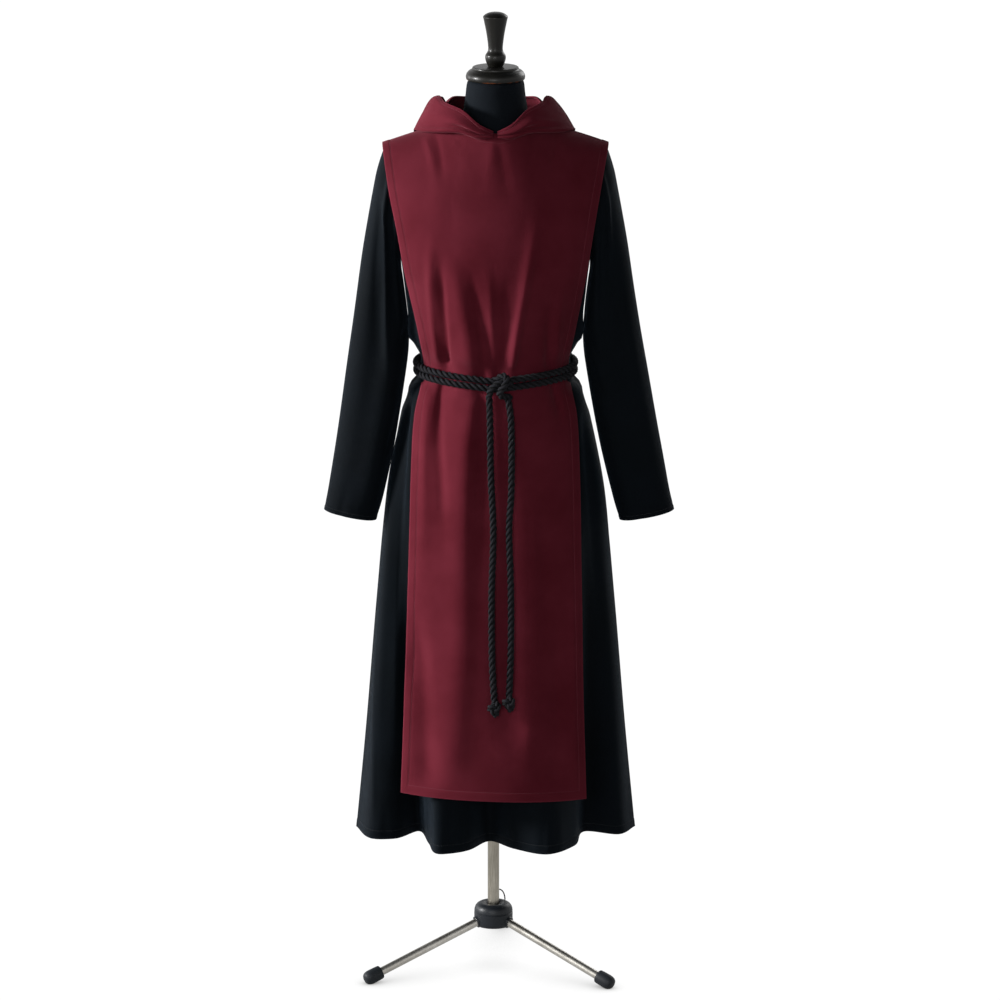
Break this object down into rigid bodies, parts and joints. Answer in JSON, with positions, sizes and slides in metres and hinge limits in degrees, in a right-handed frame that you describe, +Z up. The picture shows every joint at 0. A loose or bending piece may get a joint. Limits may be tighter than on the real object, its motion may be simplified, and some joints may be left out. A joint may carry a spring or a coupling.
{
  "type": "monk habit with scapular, hood and rope belt on a limbless dress form with a tripod stand",
  "caption": "Hooded scapular over a long-sleeved floor-length tunic, tied with a knotted rope belt, hung on a limbless dress form whose pole stands on a tripod.",
  "frame": {"origin": "middle of the part's box without the rope's free tails, on the floor under the feet", "axes": "+Z up along the pole, -Y to the front of the garment, +X to the wearer's left"},
  "size_m": [0.6284, 0.4697, 1.762],
  "materials": {
    "tunic_cloth": "matte blue-black woven cloth",
    "scapular_cloth": "wine-red fine twill with a soft nap",
    "rope": "charcoal three-strand twisted rope with a soft fuzz",
    "form_jersey": "blue-black knitted jersey stretched over the form",
    "painted_wood": "turned wood in satin black-bronze paint",
    "chromed_steel": "bright chromed steel tube",
    "hub_plastic": "moulded satin plastic",
    "foot_rubber": "moulded matte rubber"
  },
  "bodies": {
    "root": {"tunic_front": "tunic_cloth", "tunic_back": "tunic_cloth", "sleeve_left": "tunic_cloth", "sleeve_right": "tunic_cloth", "scapular_front": "scapular_cloth", "scapular_back": "scapular_cloth", "hood_left": "scapular_cloth", "hood_right": "scapular_cloth", "belt_upper": "rope", "belt_lower": "rope", "belt_knot": "rope", "belt_tail_left": "rope", "belt_tail_right": "rope", "tail_knot_left": "rope", "tail_knot_right": "rope", "form_torso": "form_jersey", "neck_cap": "painted_wood", "finial": "painted_wood", "pole": "chromed_steel", "pole_clip": "chromed_steel", "leg_1": "chromed_steel", "leg_2": "chromed_steel", "leg_3": "chromed_steel", "hub": "hub_plastic", "foot_1": "foot_rubber", "foot_2": "foot_rubber", "foot_3": "foot_rubber"}
  },
  "joints": []
}
